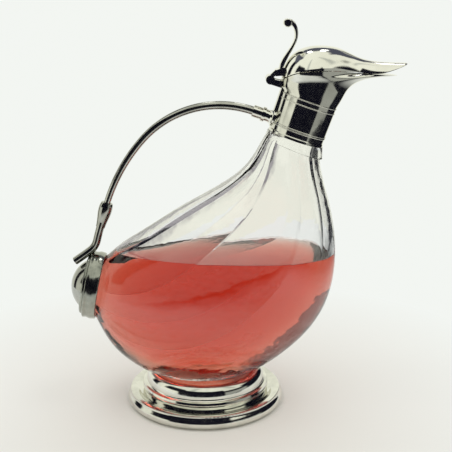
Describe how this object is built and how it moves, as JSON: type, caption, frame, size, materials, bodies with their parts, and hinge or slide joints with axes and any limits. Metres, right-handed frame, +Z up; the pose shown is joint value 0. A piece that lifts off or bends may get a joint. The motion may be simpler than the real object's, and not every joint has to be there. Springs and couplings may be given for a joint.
{
  "type": "wine carafe",
  "caption": "Duck-shaped glass claret jug with a silvered foot, collar, loop handle, tail cap and a hinged lid shaped like the bird's head.",
  "frame": {"origin": "on the table, at the centre of the foot's flat rim", "axes": "+Z up, +X towards the bill, +Y to the bird's left; the object is symmetric about the plane y = 0"},
  "size_m": [0.2363, 0.115, 0.2773],
  "materials": {
    "silver": "polished silver plate, slightly worn",
    "clear_glass": "clear pressed glass",
    "wine": "rose wine, clear coral red",
    "cement": "matt plaster"
  },
  "bodies": {
    "carafe": {"glass_body": "clear_glass", "wine": "wine", "foot": "silver", "collar": "silver", "spout": "silver", "hinge_back_plate": "silver", "hinge_pin": "silver", "handle_flange": "silver", "handle_upper_sleeve": "silver", "handle_tube": "silver", "handle_lower_ferrule": "silver", "handle_scroll": "silver", "tail_cap": "silver", "tail_cap_bead": "silver", "tail_cap_dome": "silver", "foot_cement": "cement", "collar_cement": "cement", "tail_cap_cement": "cement"},
    "lid": {"lid": "silver", "thumbpiece": "silver", "lid_hinge_leaf": "silver"}
  },
  "joints": [
    {"name": "lid_hinge", "type": "hinge", "parent": "carafe", "child": "lid", "pos_m": [0.0458, 0, 0.2366], "axis": [0, -1, 0], "range_deg": [0, 100]}
  ]
}
